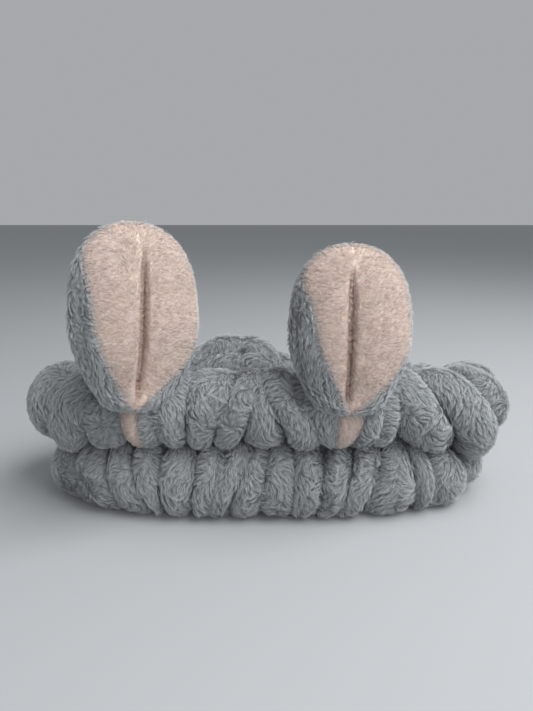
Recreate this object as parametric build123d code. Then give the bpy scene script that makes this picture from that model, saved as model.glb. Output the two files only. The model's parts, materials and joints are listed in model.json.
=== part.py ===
"""A plush spa headband: a gathered fleece band on an elastic loop, with two stuffed ears.

Frame: +X to the wearer's left, +Y towards the back of the band, +Z up.
The band stands on its lower edge, and the origin lies under the middle of the whole object.
All sizes are in millimetres.
"""

import os
from math import atan2, degrees

from build123d import *

# --- driving dimensions ---------------------------------------------------------------------
BAND_WIDTH = 236.0  # outside, end to end, with the elastic relaxed
BAND_DEPTH = 90.0  # outside, front to back
BAND_HEIGHT = 70.0
ROW_R = 18.0  # the band is two puffed rows of round section, one above the other
FOOT_TRIM = 0.7  # how much the lower row is flattened where it stands
WALL = 3.4  # fleece with its pile
HALF_GAP = 0.4  # between the front and the back half of the cover

ELASTIC_HEIGHT = 10.0
ELASTIC_THICKNESS = 1.2
ELASTIC_LAP = 16.0
SLOT_HEIGHT = 11.0
SLOT_THICKNESS = 5.0

THREAD = 0.8
STITCH_LENGTH = 3.2
STITCH_PITCH = 6.0

JOIN_X = -13.0  # the bulky back join, where the ends of the fleece tube meet
JOIN_R = 15.0
JOIN_LENGTH = 50.0
JOIN_ROUNDING = 11.0
JOIN_TOP = 74.0
JOIN_SEAM_X = 24.0  # of the seam beside the bulge

EAR_THICKNESS = 25.0
EAR_BASE_WIDTH = 30.0
EAR_BASE_THICKNESS = 3.0
EAR_WALL = 2.6
EAR_FULLNESS = 0.84  # share of the half width reached at three tenths of the height
EAR_SIDE_FULLNESS = 0.66
FILLING_GAP = 0.3
EAR_BASE_Z = 58.5
EAR_STANDOFF = 3.2  # how far the ear's lower tip stands in front of the band
EAR_LEAN = 7.0  # degrees, backwards
EAR_BACK_TRAVEL = 20.0  # degrees that an ear can flex backwards over the band
EAR_CLEARANCE = 0.6
CREASE_DEPTH = 6.0
CREASE_WIDTH = 5.0
EAR_SEAM_STITCHES = 9  # on each side of an ear

TAIL_THICKNESS = 2.4
STRIPE_THICKNESS = 1.2
TAIL_LOW_Z = 39.0
TAIL_HIGH_Z = 55.5
FIT = 0.15  # between fleece layers that lie on each other

# name, place along the band, ear width and height, turn to the side, tail and stripe widths,
# the middle of the tail from the ear's, and the middle of the stripe from the tail's
EARS = (
    ("left", -57.5, 57.0, 79.5, 30.0, 35.0, 5.0, -2.5, 0.5),
    ("right", 36.0, 54.0, 72.0, 8.0, 37.0, 8.5, -7.0, 5.0),
)

# --- worked out from them --------------------------------------------------------------------
LOWER_ROW_Z = ROW_R - FOOT_TRIM
UPPER_ROW_Z = BAND_HEIGHT - ROW_R
MIDLINE_Z = (LOWER_ROW_Z + UPPER_ROW_Z) / 2
MIDLINE_Y = BAND_DEPTH / 2 - ROW_R  # from the ring's centre to the middle of the band
STRAIGHT = BAND_WIDTH / 2 - ROW_R - MIDLINE_Y  # half the straight run
RING_Y = 12.6  # the ring's centre, so that the origin lies under the middle of the object
FAR = 400.0  # larger than the object


def rows(radius):
    """Cut through the two rows."""
    return [Pos(0, z) * Circle(radius) for z in (LOWER_ROW_Z, UPPER_ROW_Z)]


def strip(thickness, height):
    """Cut through something flat that stands on the band's middle line."""
    return Pos(0, MIDLINE_Z) * Rectangle(thickness, height)


def half_ring(cut):
    """The front half of a ring with this cut: a straight run and a quarter turn at each end."""
    corner = Plane(origin=(-STRAIGHT, -MIDLINE_Y, 0), x_dir=(0, 1, 0), z_dir=(1, 0, 0))
    face = corner * cut
    run = extrude(face, amount=2 * STRAIGHT, dir=(1, 0, 0))
    left_end = revolve(face, Axis((-STRAIGHT, 0, 0), (0, 0, -1)), 90)
    return run + left_end + mirror(left_end, Plane.YZ)


def to_back(shape):
    """The same shape on the back half."""
    return mirror(shape, Plane.XZ)


def hollow_half():
    """The space inside the front half of the cover: two channels and the elastic's slot."""
    lower, upper = rows(ROW_R - WALL)
    return half_ring(lower) + half_ring(upper) + half_ring(strip(SLOT_THICKNESS, SLOT_HEIGHT))


def cover_half():
    """Front half of the gathered fleece tube."""
    lower, upper = rows(ROW_R)
    outer = half_ring(lower) + half_ring(upper)
    room = Pos(0, -(FAR + HALF_GAP) / 2, FAR / 2) * Box(FAR, FAR, FAR)
    return (outer & room) - hollow_half()


def join_bulge():
    """The bulge on the back half where the ends of the tube are sewn together."""
    core = Cylinder(JOIN_R, JOIN_LENGTH)
    core = fillet(core.edges().filter_by(GeomType.CIRCLE), JOIN_ROUNDING)
    bulge = Pos(JOIN_X, MIDLINE_Y, JOIN_TOP - JOIN_R) * Rot(0, 90, 0) * core
    upper_channel = Pos(JOIN_X, MIDLINE_Y, UPPER_ROW_Z) * Rot(0, 90, 0) * Cylinder(ROW_R - WALL, FAR / 4)
    return bulge - upper_channel


def elastic_loop():
    """Flat elastic all round, with its ends lapped at the back join."""
    front = half_ring(strip(ELASTIC_THICKNESS, ELASTIC_HEIGHT))
    lap = Box(ELASTIC_LAP, ELASTIC_THICKNESS, ELASTIC_HEIGHT)
    return front + to_back(front) + Pos(JOIN_X, MIDLINE_Y + ELASTIC_THICKNESS, MIDLINE_Z) * lap


def elastic_lap_stitches():
    """A zigzag of thread across the elastic's lap."""
    count = 5
    y = MIDLINE_Y + 1.5 * ELASTIC_THICKNESS
    bar = Box(THREAD, THREAD, ELASTIC_HEIGHT - 2)
    places = [JOIN_X + (i - (count - 1) / 2) * ELASTIC_LAP / (count + 1) for i in range(count)]
    return [Pos(x, y, MIDLINE_Z) * Rot(0, 14 * (-1) ** i, 0) * bar for i, x in enumerate(places)]


def midline_stitches():
    """One line of stitches in the crease between the rows, on the outside of the front half."""
    waist = (ROW_R**2 - (MIDLINE_Z - LOWER_ROW_Z) ** 2) ** 0.5
    count = int(STRAIGHT // STITCH_PITCH)
    stitch = Box(STITCH_LENGTH, THREAD, THREAD)
    y = -MIDLINE_Y - waist - THREAD / 4
    return [Pos(i * STITCH_PITCH, y, MIDLINE_Z) * stitch for i in range(-count, count + 1)]


def join_stitches():
    """The seam beside the back bulge, down the outside of both rows."""
    stitch = Box(THREAD, THREAD, STITCH_LENGTH)
    pieces = []
    for row_z in (LOWER_ROW_Z, UPPER_ROW_Z):
        for angle in range(-48, 49, 24):
            place = Pos(JOIN_SEAM_X, MIDLINE_Y, row_z) * Rot(angle, 0, 0) * Pos(0, ROW_R, 0)
            pieces.append(place * stitch)
    return pieces


def leaf(half_width, height, tip, fullness):
    """An ear's outline: a narrow tip below, widest at three fifths, round above."""
    shoulder = (half_width, 0.6 * height)
    flank = ThreePointArc((tip, 0), (fullness * half_width, 0.3 * height), shoulder)
    other = mirror(flank, Plane.YZ)
    top = ThreePointArc(shoulder, (0, height), (-half_width, 0.6 * height))
    return make_face([flank, top, other, Line((-tip, 0), (tip, 0))])


def ear_block(width, height, inset):
    """A puffed ear on its tip at the origin, shrunk by inset all round, with the front crease."""
    tall = height - 2 * inset
    front_view = leaf(width / 2 - inset, tall, EAR_BASE_WIDTH / 2 - inset, EAR_FULLNESS)
    side_view = leaf(EAR_THICKNESS / 2 - inset, tall, EAR_BASE_THICKNESS / 2, EAR_SIDE_FULLNESS)
    front_solid = extrude(Plane.XZ * front_view, EAR_THICKNESS, both=True)
    side_solid = extrude(Plane.YZ * side_view, width, both=True)
    block = Pos(0, 0, inset) * (front_solid & side_solid)
    depth = CREASE_DEPTH + inset
    half = CREASE_WIDTH / 2 + inset
    front_y = -EAR_THICKNESS / 2
    wedge = make_face(Polyline((-half, front_y), (half, front_y), (0, front_y + depth), close=True))
    return block - Pos(0, 0, 0.3 * height) * extrude(wedge, 0.5 * height)


def ear_seam_stitches(width, height):
    """Stitches round an ear's edge, where its two panels meet."""
    half = width / 2 - THREAD
    foot = (EAR_BASE_WIDTH / 2 - THREAD, 0)
    flank = ThreePointArc(foot, (EAR_FULLNESS * half, 0.3 * height), (half, 0.6 * height))
    top = ThreePointArc((half, 0.6 * height), (0, height - THREAD), (-half, 0.6 * height))
    bar = Box(THREAD, THREAD, STITCH_LENGTH)
    pieces = []
    for curve, start, sides in ((flank, 0.4, (-1, 1)), (top, 0, (1,))):
        for i in range(EAR_SEAM_STITCHES):
            share = start + (1 - start) * (i + 0.5) / EAR_SEAM_STITCHES
            at = curve @ share
            along = curve % share
            for side in sides:
                lean = side * degrees(atan2(along.X, along.Y))
                pieces.append(Pos(side * at.X, 0, at.Y) * Rot(0, lean, 0) * bar)
    return pieces


def row_swept(radius):
    """The upper row as a backward flexing ear meets it, turned about the ear's lower tip."""
    tip = (0, -BAND_DEPTH / 2 - EAR_STANDOFF, EAR_BASE_Z)
    row = Pos(0, -MIDLINE_Y, UPPER_ROW_Z) * Rot(0, 90, 0) * Cylinder(radius, BAND_WIDTH)
    steps = 4
    turned = [row.rotate(Axis(tip, (1, 0, 0)), EAR_BACK_TRAVEL * i / steps) for i in range(steps + 1)]
    return turned[0] + turned[1:]


def ear_nodes(name, x, width, height, turn):
    """What moves with one ear: its two panels, the filling and the edge seam."""
    place = Pos(x, -BAND_DEPTH / 2 - EAR_STANDOFF, EAR_BASE_Z) * Rot(-EAR_LEAN, 0, 0) * Rot(0, 0, turn)

    def clear_block(inset):
        return place * ear_block(width, height, inset) - row_swept(ROW_R + EAR_CLEARANCE + inset)

    shell = clear_block(0) - clear_block(EAR_WALL)
    front_space = place * Pos(0, -FAR / 2, 0) * Box(FAR, FAR, FAR)
    back_space = place * Pos(0, FAR / 2, 0) * Box(FAR, FAR, FAR)
    return {
        f"{name}_ear_front": [shell & front_space],
        f"{name}_ear_back": [shell & back_space],
        f"{name}_ear_filling": [clear_block(EAR_WALL + FILLING_GAP)],
        f"{name}_ear_edge_seam": [place * s for s in ear_seam_stitches(width, height)],
    }


def layer_on_upper_row(x, width, low_z, high_z, inner, thickness):
    """A fleece layer lying on the front of the upper row, inner millimetres off it."""
    tubes = [Cylinder(ROW_R + inner + t, width) for t in (thickness, 0)]
    ring = Pos(x, -MIDLINE_Y, UPPER_ROW_Z) * Rot(0, 90, 0) * (tubes[0] - tubes[1])
    window = Pos(x, -MIDLINE_Y - ROW_R, (low_z + high_z) / 2) * Box(FAR, 2 * ROW_R, high_z - low_z)
    return ring & window


def tail_nodes(name, x, tail_width, stripe_width, tail_shift, stripe_shift):
    """An ear's tail over the upper row, its pink stripe and the stitches that hold them."""
    tail_x = x + tail_shift
    stripe_x = tail_x + stripe_shift
    tail = layer_on_upper_row(tail_x, tail_width, TAIL_LOW_Z, TAIL_HIGH_Z, FIT, TAIL_THICKNESS)
    over = 2 * FIT + TAIL_THICKNESS
    low, high = TAIL_LOW_Z + 1, TAIL_HIGH_Z - 1.5
    stripe = layer_on_upper_row(stripe_x, stripe_width, low, high, over, STRIPE_THICKNESS)
    y = -BAND_DEPTH / 2 - FIT - TAIL_THICKNESS
    stitch = Box(STITCH_LENGTH, THREAD, THREAD)
    places = []
    for i in range(4):
        off = stripe_width / 2 + 3 + i * STITCH_PITCH
        places += [stripe_x - off, stripe_x + off]
    held = [p for p in places if abs(p - tail_x) + STITCH_LENGTH / 2 < tail_width / 2]
    return {
        f"{name}_ear_tail": [tail],
        f"{name}_tail_stripe": [stripe],
        f"{name}_tail_stitches": [Pos(p, y, UPPER_ROW_Z) * stitch for p in held],
    }


def all_nodes():
    """Every node and its solids, about the ring's centre."""
    front = cover_half()
    stitches = midline_stitches()
    nodes = {
        "band_cover_front": [front],
        "band_cover_back": [to_back(front) + join_bulge()],
        "elastic_loop": [elastic_loop()],
        "elastic_lap_stitches": elastic_lap_stitches(),
        "midline_stitches_front": stitches,
        "midline_stitches_back": [to_back(s) for s in stitches],
        "back_join_stitches": join_stitches(),
    }
    for name, x, width, height, turn, tail_width, stripe_width, tail_shift, stripe_shift in EARS:
        nodes.update(ear_nodes(name, x, width, height, turn))
        nodes.update(tail_nodes(name, x, tail_width, stripe_width, tail_shift, stripe_shift))
    return nodes


def main():
    os.makedirs("parts", exist_ok=True)
    for node, shapes in all_nodes().items():
        solids = [solid for shape in shapes for solid in shape.solids()]
        export_step(Pos(0, RING_Y, 0) * Compound(solids), f"parts/{node}.step")


main()
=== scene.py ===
import json
from math import cos, pi, radians, sin

import bmesh
import bpy
import numpy as np
from mathutils import Euler, Matrix, Vector


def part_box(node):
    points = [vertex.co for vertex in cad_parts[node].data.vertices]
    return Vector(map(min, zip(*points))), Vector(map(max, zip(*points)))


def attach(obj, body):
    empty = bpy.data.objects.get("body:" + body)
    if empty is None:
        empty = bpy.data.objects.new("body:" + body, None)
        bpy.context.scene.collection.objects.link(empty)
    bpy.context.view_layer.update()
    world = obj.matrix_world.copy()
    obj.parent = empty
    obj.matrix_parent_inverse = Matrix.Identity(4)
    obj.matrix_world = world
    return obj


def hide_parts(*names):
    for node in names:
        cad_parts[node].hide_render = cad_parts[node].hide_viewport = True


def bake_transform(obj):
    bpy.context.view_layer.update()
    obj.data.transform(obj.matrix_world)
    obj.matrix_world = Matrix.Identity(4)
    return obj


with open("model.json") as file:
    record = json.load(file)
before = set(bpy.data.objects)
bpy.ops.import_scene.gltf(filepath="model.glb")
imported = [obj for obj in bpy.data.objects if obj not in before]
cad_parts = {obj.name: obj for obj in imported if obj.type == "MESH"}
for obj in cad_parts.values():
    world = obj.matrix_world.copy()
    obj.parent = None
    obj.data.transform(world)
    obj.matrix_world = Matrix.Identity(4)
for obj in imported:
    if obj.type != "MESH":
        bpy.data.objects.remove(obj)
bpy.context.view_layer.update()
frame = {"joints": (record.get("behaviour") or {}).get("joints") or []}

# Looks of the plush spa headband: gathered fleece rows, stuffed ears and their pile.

MM = 0.001

# --- places and sizes read from the frame
COVER_LOW, COVER_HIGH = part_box("band_cover_front")
BACK_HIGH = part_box("band_cover_back")[1]
ELASTIC_LOW, ELASTIC_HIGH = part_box("elastic_loop")
RING_Y = (COVER_LOW[1] + BACK_HIGH[1]) / 2  # the middle of the ring, seen from above
ROW_R = 18 * MM
MIDLINE_X = COVER_HIGH[0] - ROW_R
MIDLINE_Y = BACK_HIGH[1] - RING_Y - ROW_R
MIDLINE_Z = (ELASTIC_LOW[2] + ELASTIC_HIGH[2]) / 2
UPPER_ROW_Z = COVER_HIGH[2] - ROW_R
JOINTS = {joint["name"]: joint for joint in frame["joints"]}

# --- the band
RING_POWER = 2.5  # of the oval that the middle line follows: 2 is an ellipse
LOWER_INSET = 9 * MM  # how much shorter the lower row is at each end
RING_STEPS = 820
ROW_STEPS = 132
VOXEL = 1.15 * MM * 1
SKIN_SOFTENING = 2
TUFT_HEIGHT, TUFT_SIZE = 0.8 * MM, 2.3 * MM
WEB_HALF_THICKNESS = 3.4 * MM
WEB_HALF_HEIGHT = 9 * MM
ELASTIC_HALF_THICKNESS = 0.6 * MM
ELASTIC_HALF_HEIGHT = 5 * MM
JOIN_SEAM_X = 24 * MM

# The hump of the far side, behind and between the ears.
HUMP_X = -17 * MM
HUMP_HALF_LENGTH = 22 * MM
HUMP_GROOVE_ANGLE, HUMP_GROOVE_WIDTH = radians(125), radians(9)

# The gathers. Valleys are in mm along the front, left to right; the rest of the ring has uneven ones.
FOLD_DEPTH, FOLD_DEEPER = 0.39, 0.27  # shares of a row's thickness: everywhere, and more near the seam
FOLD_SLANT, FOLD_BEND = 8, 3  # in mm, at most
FULL_PUFF = 14 * MM  # a puff this long has the full depth of valley beside it
CROWN = 1.07
SLANT_WAVE, SLANT_WAVE_LENGTH = 2.2 * MM, 11 * MM
LIFT_WAVE, LIFT_WAVE_SIZE = 0.9 * MM, 26 * MM

# Each row: its valleys, its heights, and how much lower it is at the left end, the right end and the back.
ROWS = {
    "upper": dict(
        valleys=[-96, -78, -60, -43.5, -31, -17, -5, 9, 23, 35, 47, 59, 78, 94],
        inset=0, toward=-pi / 2, valley_seed=11, fold_seed=5, wave_seed=3,
        low=35 * MM, low_less=(9 * MM, 14 * MM, 4 * MM),
        high=66.5 * MM, high_less=(3.5 * MM, 3.5 * MM, 9 * MM), hump=11.5 * MM, groove=0.16,
        thick=16.2 * MM, thicker_right=1.5 * MM, end_slant=13 * MM, middle_slant=5.5 * MM,
    ),
    "lower": dict(
        valleys=[-95, -86, -78, -72, -58, -45, -33, -19, -7, 1, 13, 27, 39, 51, 61, 72, 88],
        inset=LOWER_INSET, toward=pi / 2, valley_seed=23, fold_seed=8, wave_seed=4,
        low=0, low_less=(0, 0, 0),
        high=34.6 * MM, high_less=(7 * MM, 8 * MM, 4 * MM), hump=0, groove=0,
        thick=16.5 * MM, thicker_right=0, end_slant=3 * MM, middle_slant=1 * MM,
    ),
}

# --- the tails of the ears, on the upper row
TAIL_LOW_Z, TAIL_HIGH_Z = 36.5 * MM, 59.5 * MM
TAILS = {
    "left": dict(low_x=-77.5 * MM, high_x=-43.5 * MM, stripe_x=-56.5 * MM, stripe=5.5 * MM),
    "right": dict(low_x=9.5 * MM, high_x=47.5 * MM, stripe_x=34.8 * MM, stripe=9.5 * MM),
}

# --- the ears
EAR_COLUMNS = 220
EAR_ROWS = 150
EAR_THICKNESS = 25 * MM
EAR_LEAN = 7
EAR_BACK = 6 * MM  # how far an ear's foot stands behind its hinge
PANEL_THICKNESS = 2.2 * MM
FILLING_INSET = 3.6 * MM
FILLING_COLUMNS, FILLING_ROWS = 64, 40
FURROW_ANGLE = -157  # where the grey panel has its furrow, beside the pink
FURROW_DEPTH = 2.2 * MM
# Each ear's place from its hinge, size, turn, seams (degrees in front of its sides), fold, and the pink's
# lower point and the share of the height below which the pink narrows to it.
EARS = {
    "left": dict(
        shift=3 * MM, foot=-2.5 * MM, width=53 * MM, height=76.8 * MM, turn=32, seam=(38, 8),
        slit=0.95, slit_foot=-0.116, slit_lean=0.207, point=-112, narrow=0.62,
    ),
    "right": dict(
        shift=-1 * MM, foot=-4.5 * MM, width=49.5 * MM, height=70 * MM, turn=2, seam=(42, 10),
        slit=0.9, slit_foot=-0.06, slit_lean=0.03, point=-92, narrow=0.8,
    ),
}

# --- stitches, pile and colours
STITCH_LENGTH = 3.2 * MM
STITCH_R = 0.3 * MM

PILE_AMOUNT = 1.0
ROOTS_PER_LOCK = 9
# Density is in fibres per square metre.
GREY_PILE = dict(density=4.2e6, radius=0.07 * MM, clump=0.65, lift=0.5)
PINK_PILE = dict(density=5.0e6, radius=0.06 * MM, clump=0.65, lift=0.5)
PILES = {
    "band": dict(GREY_PILE, length=3.5 * MM, seed=1),
    "ear_inner": dict(PINK_PILE, length=2.3 * MM, seed=2, clump=0.5, lift=0.9),
    "ear_outer": dict(GREY_PILE, length=3.2 * MM, seed=3),
    "puffs": dict(GREY_PILE, length=3.3 * MM, seed=4),
    "stripe": dict(PINK_PILE, length=2.3 * MM, seed=5),
}

WHITE = (1, 1, 1)
GREY_DEEP, GREY_MID, GREY_LIGHT = (0.24, 0.255, 0.27), (0.34, 0.36, 0.375), (0.44, 0.46, 0.475)
PINK_DEEP, PINK_MID, PINK_LIGHT = (0.66, 0.50, 0.43), (0.76, 0.62, 0.55), (0.84, 0.73, 0.67)
# Painted shade at the fibres' roots: each fibre runs from a darker root to a lighter tip.
GREY_ROOT_SHADE, GREY_TIP = (0.24, 0.255, 0.265), (0.68, 0.705, 0.72)
PINK_ROOT_SHADE, PINK_TIP = (0.71, 0.54, 0.46), (0.81, 0.755, 0.715)
# Painted shade in folds: a darker grey, and a darker, warmer pink.
GREY_FOLD_SHADE, PINK_FOLD_SHADE = (0.62, 0.63, 0.65), (0.84, 0.44, 0.29)

# --- camera and light
CAMERA_DISTANCE, CAMERA_HEIGHT, CAMERA_PITCH = 212 * MM, 137 * MM, 15
LIGHTS = {
    "top": dict(place=(0.42, -0.2, 0.78), aim=(0, 0, 0.05), size=0.75, power=10.5),
    "front": dict(place=(0.35, -0.85, 0.45), aim=(0, 0, 0.06), size=0.8, power=3.2),
}
FLOOR_SIZE = 6.0
FLOOR_COLOUR = (0.37, 0.385, 0.40, 1)
ROOM_COLOUR, ROOM_STRENGTH = (0.66, 0.68, 0.70, 1), 0.58


# --- numbers and lines
def noise_lattice(points, size, seed):
    """Smooth noise from -1 to 1 at points, with features of about this size."""
    table = np.random.default_rng(seed).uniform(-1, 1, 8192)
    scaled = points / size
    cell = np.floor(scaled).astype(np.int64)
    f = scaled - cell
    f = f * f * (3 - 2 * f)
    total = np.zeros(len(points))
    for corner in range(8):
        step = np.array([corner & 1, corner >> 1 & 1, corner >> 2 & 1])
        at = cell + step
        key = (at[:, 0] * 73856093) ^ (at[:, 1] * 19349663) ^ (at[:, 2] * 83492791)
        weight = np.prod(np.where(step, f, 1 - f), axis=1)
        total += weight * table[key & 8191]
    return total


def smooth(x, low, high):
    """0 below low, 1 above high, and smooth between them."""
    t = np.clip((x - low) / (high - low), 0, 1)
    return t * t * (3 - 2 * t)


def oval(half_x, half_y, count):
    """Points evenly spaced round an oval seen from above, anticlockwise from its front middle."""
    angle = np.linspace(-pi / 2, 3 * pi / 2, 6001)
    x = half_x * np.sign(np.cos(angle)) * np.abs(np.cos(angle)) ** (2 / RING_POWER)
    y = half_y * np.sign(np.sin(angle)) * np.abs(np.sin(angle)) ** (2 / RING_POWER)
    run = np.concatenate([[0], np.cumsum(np.hypot(np.diff(x), np.diff(y)))])
    at = np.linspace(0, run[-1], count, endpoint=False)
    return np.interp(at, run, x), np.interp(at, run, y), at, run[-1]


def outward(x, y):
    """Outward directions of a closed line of points seen from above."""
    along = np.stack([np.roll(x, -1) - np.roll(x, 1), np.roll(y, -1) - np.roll(y, 1)], axis=1)
    for _ in range(12):
        along = (np.roll(along, 1, 0) + along + np.roll(along, -1, 0)) / 3
    along /= np.linalg.norm(along, axis=1)[:, None]
    return np.stack([along[:, 1], -along[:, 0]], axis=1)


# --- the shape of the band
def valley_places(front, x, run, length, seed):
    """Arc places of all valleys: the given ones along the front, uneven ones elsewhere."""
    rng = np.random.default_rng(seed)
    half = len(x) // 2
    fronts = []
    for place in front:
        close = np.where(np.cos(2 * pi * run / length) > -0.05, np.abs(x - place * MM), 1)
        fronts.append(run[np.argmin(close)])
    fronts = np.array(sorted((f + length / 2) % length - length / 2 for f in fronts))
    rest = fronts[-1]
    others = []
    while rest < fronts[0] + length - 16 * MM:
        rest += rng.uniform(9, 17) * MM
        others.append(rest)
    others = np.array(others[:-1])
    return np.concatenate([fronts, others])


def fold_lean(at, row):
    """How far a row's folds slant at a place on its line."""
    right_end = smooth(at, 60 * MM, 95 * MM) * (1 - smooth(at, 150 * MM, 190 * MM))
    middle = smooth(at, -50 * MM, -38 * MM) * (1 - smooth(at, -2 * MM, 6 * MM))
    slant = row["end_slant"] * right_end - row["middle_slant"] * middle
    return slant + SLANT_WAVE * np.sin(at / SLANT_WAVE_LENGTH)


def gathers(run, length, places, phi, row):
    """How deep the surface lies, 0 on a puff's crown and 1 in a valley, by place and by angle."""
    rng = np.random.default_rng(row["fold_seed"])
    count = len(places)
    slant = rng.uniform(-FOLD_SLANT, FOLD_SLANT, count) * MM
    bend = rng.uniform(-FOLD_BEND, FOLD_BEND, count) * MM
    strength = rng.uniform(0.62, 1.0, count)
    reach = rng.choice([0.0, 0.0, 0.3, 0.7], count)
    start = places[0]
    depth = np.zeros((len(run), len(phi)))
    for j, angle in enumerate(phi):
        near = 0.5 + 0.5 * cos(angle - row["toward"])
        side = sin(angle - row["toward"])
        spots = places + slant * (1 - near) * 1.6 + bend * side - fold_lean(places, row) * sin(angle)
        power = strength * (1 - reach * (1 - near) * 0.9)
        order = np.argsort(spots)
        spots, power = spots[order], power[order]
        wrapped = (run - start + 8 * MM) % length + start - 8 * MM
        after = np.searchsorted(spots, wrapped)
        lo = spots[after - 1] - np.where(after == 0, length, 0)
        hi = spots[after % count] + np.where(after == count, length, 0)
        t = np.clip((wrapped - lo) / np.maximum(hi - lo, 1e-6), 0, 1)
        pull = np.where(t < 0.5, power[after - 1], power[after % count])
        wide = np.clip((hi - lo) / FULL_PUFF, 0.55, 1.2)
        depth[:, j] = pull * wide * np.abs(2 * t - 1) ** 2.6
    return depth


def row_profile(row, x, y, hump):
    """A row's lowest and highest height and its half thickness, round the ring."""
    left = smooth(-x, 62 * MM, 98 * MM)
    right = smooth(x, 58 * MM, 98 * MM)
    back = smooth(y, -4 * MM, 20 * MM)

    def height(most, less):
        return most - less[0] * left - less[1] * right - less[2] * back

    low = height(row["low"], row["low_less"])
    high = height(row["high"], row["high_less"]) + row["hump"] * hump
    return low, high, row["thick"] + row["thicker_right"] * right


def row_points(name):
    """Grid of points on one gathered row of the band, round the ring by round the section."""
    row = ROWS[name]
    x, y, run, length = oval(MIDLINE_X - row["inset"], MIDLINE_Y, RING_STEPS)
    out = outward(x, y)
    phi = np.linspace(0, 2 * pi, ROW_STEPS, endpoint=False)
    places = valley_places(row["valleys"], x, run, length, row["valley_seed"])
    deep = gathers(run, length, places, phi, row)
    hump = smooth(y, 5 * MM, 20 * MM) * np.exp(-np.abs((x - HUMP_X) / HUMP_HALF_LENGTH) ** 4)
    low, high, thick = row_profile(row, x, y, hump)
    wave = noise_lattice(np.stack([x, y, x * 0], axis=1), LIFT_WAVE_SIZE, row["wave_seed"])
    middle = (low + high) / 2 + LIFT_WAVE * wave
    tall = (high - low) / 2

    near = 0.5 + 0.5 * np.cos(phi - row["toward"])
    inner = 0.5 - 0.5 * np.cos(phi)
    depth_share = (FOLD_DEPTH + FOLD_DEEPER * near**1.2) * (1 - 0.3 * inner)
    groove = np.exp(-(((phi - HUMP_GROOVE_ANGLE) / HUMP_GROOVE_WIDTH) ** 2))
    grow = CROWN - deep * depth_share[None, :]
    grow = grow - row["groove"] * hump[:, None] * groove[None, :]
    side = thick[:, None] * grow * np.cos(phi)[None, :]
    rise = tall[:, None] * grow * np.sin(phi)[None, :]
    points = np.empty((RING_STEPS, ROW_STEPS, 3))
    points[:, :, 0] = x[:, None] + out[:, :1] * side
    points[:, :, 1] = y[:, None] + out[:, 1:] * side + RING_Y
    points[:, :, 2] = middle[:, None] + rise
    return points


def flatten_foot(points):
    """Presses what would lie under the floor up onto it, softly."""
    z = points[..., 2]
    soft = 1.2 * MM
    points[..., 2] = np.where(z < soft, soft - soft * np.tanh((soft - z) / soft), z)
    return points


def ring_sweep(inset, across, up, count=RING_STEPS):
    """A closed section, given as distances outward and up from the midline, swept round the ring."""
    x, y, _, _ = oval(MIDLINE_X - inset, MIDLINE_Y, count)
    out = outward(x, y)
    points = np.empty((count, len(across), 3))
    points[:, :, 0] = x[:, None] + out[:, :1] * across
    points[:, :, 1] = y[:, None] + out[:, 1:] * across + RING_Y
    points[:, :, 2] = MIDLINE_Z + np.asarray(up)[None, :]
    return points


def web_points():
    """The sewn middle of the band, between its two rows."""
    phi = np.linspace(0, 2 * pi, 40, endpoint=False)
    return ring_sweep(LOWER_INSET / 2, WEB_HALF_THICKNESS * np.cos(phi), WEB_HALF_HEIGHT * np.sin(phi))


# --- meshes
def grid_faces(rows, columns, wrap_rows=False, wrap_columns=False, start=0):
    """Quads over a grid of points numbered row by row."""
    i = np.arange(rows if wrap_rows else rows - 1)
    j = np.arange(columns if wrap_columns else columns - 1)
    i, j = np.meshgrid(i, j, indexing="ij")
    a = i * columns + j
    b = i * columns + (j + 1) % columns
    c = (i + 1) % rows * columns + (j + 1) % columns
    d = (i + 1) % rows * columns + j
    return start + np.stack([a, d, c, b], axis=-1).reshape(-1, 4)


def new_piece(name, points, faces, material):
    """A mesh object with smooth faces and one material."""
    mesh = bpy.data.meshes.new(name)
    mesh.from_pydata(points.reshape(-1, 3).tolist(), [], faces.tolist())
    mesh.update()
    mesh.validate()
    mesh.polygons.foreach_set("use_smooth", np.ones(len(mesh.polygons), bool))
    mesh.materials.append(material)
    piece = bpy.data.objects.new(name, mesh)
    bpy.context.scene.collection.objects.link(piece)
    return piece


def coordinates(piece):
    """Where the vertices of a piece are, one row each."""
    co = np.empty(len(piece.data.vertices) * 3)
    piece.data.vertices.foreach_get("co", co)
    return co.reshape(-1, 3)


def normals(piece):
    """Which way the surface faces at each vertex of a piece."""
    n = np.empty(len(piece.data.vertices) * 3)
    piece.data.vertex_normals.foreach_get("vector", n)
    return n.reshape(-1, 3)


def remesh(piece):
    """One even skin over a piece's overlapping shells, with its corners softened, as its own mesh."""
    mod = piece.modifiers.new("skin", "REMESH")
    mod.mode = "VOXEL"
    mod.voxel_size = VOXEL
    soften = piece.modifiers.new("soften", "SMOOTH")
    soften.factor = 0.5
    soften.iterations = SKIN_SOFTENING
    graph = bpy.context.evaluated_depsgraph_get()
    mesh = bpy.data.meshes.new_from_object(piece.evaluated_get(graph))
    piece.modifiers.clear()
    old = piece.data
    piece.data = mesh
    mesh.name = old.name
    bpy.data.meshes.remove(old)
    mesh.polygons.foreach_set("use_smooth", np.ones(len(mesh.polygons), bool))
    mesh.update()


def weld(piece, distance=None):
    """Turns a closed piece's faces outwards, after joining points closer than a distance."""
    shape = bmesh.new()
    shape.from_mesh(piece.data)
    if distance is not None:
        bmesh.ops.remove_doubles(shape, verts=shape.verts, dist=distance)
        bmesh.ops.holes_fill(shape, edges=[e for e in shape.edges if e.is_boundary])
    bmesh.ops.recalc_face_normals(shape, faces=shape.faces)
    if shape.calc_volume(signed=True) < 0:
        bmesh.ops.reverse_faces(shape, faces=shape.faces)
    shape.to_mesh(piece.data)
    shape.free()


def store_vector(piece, name, values):
    """Gives a piece a named direction at each vertex."""
    attribute = piece.data.attributes.new(name, "FLOAT_VECTOR", "POINT")
    attribute.data.foreach_set("vector", values.astype(np.float32).ravel())


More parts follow.
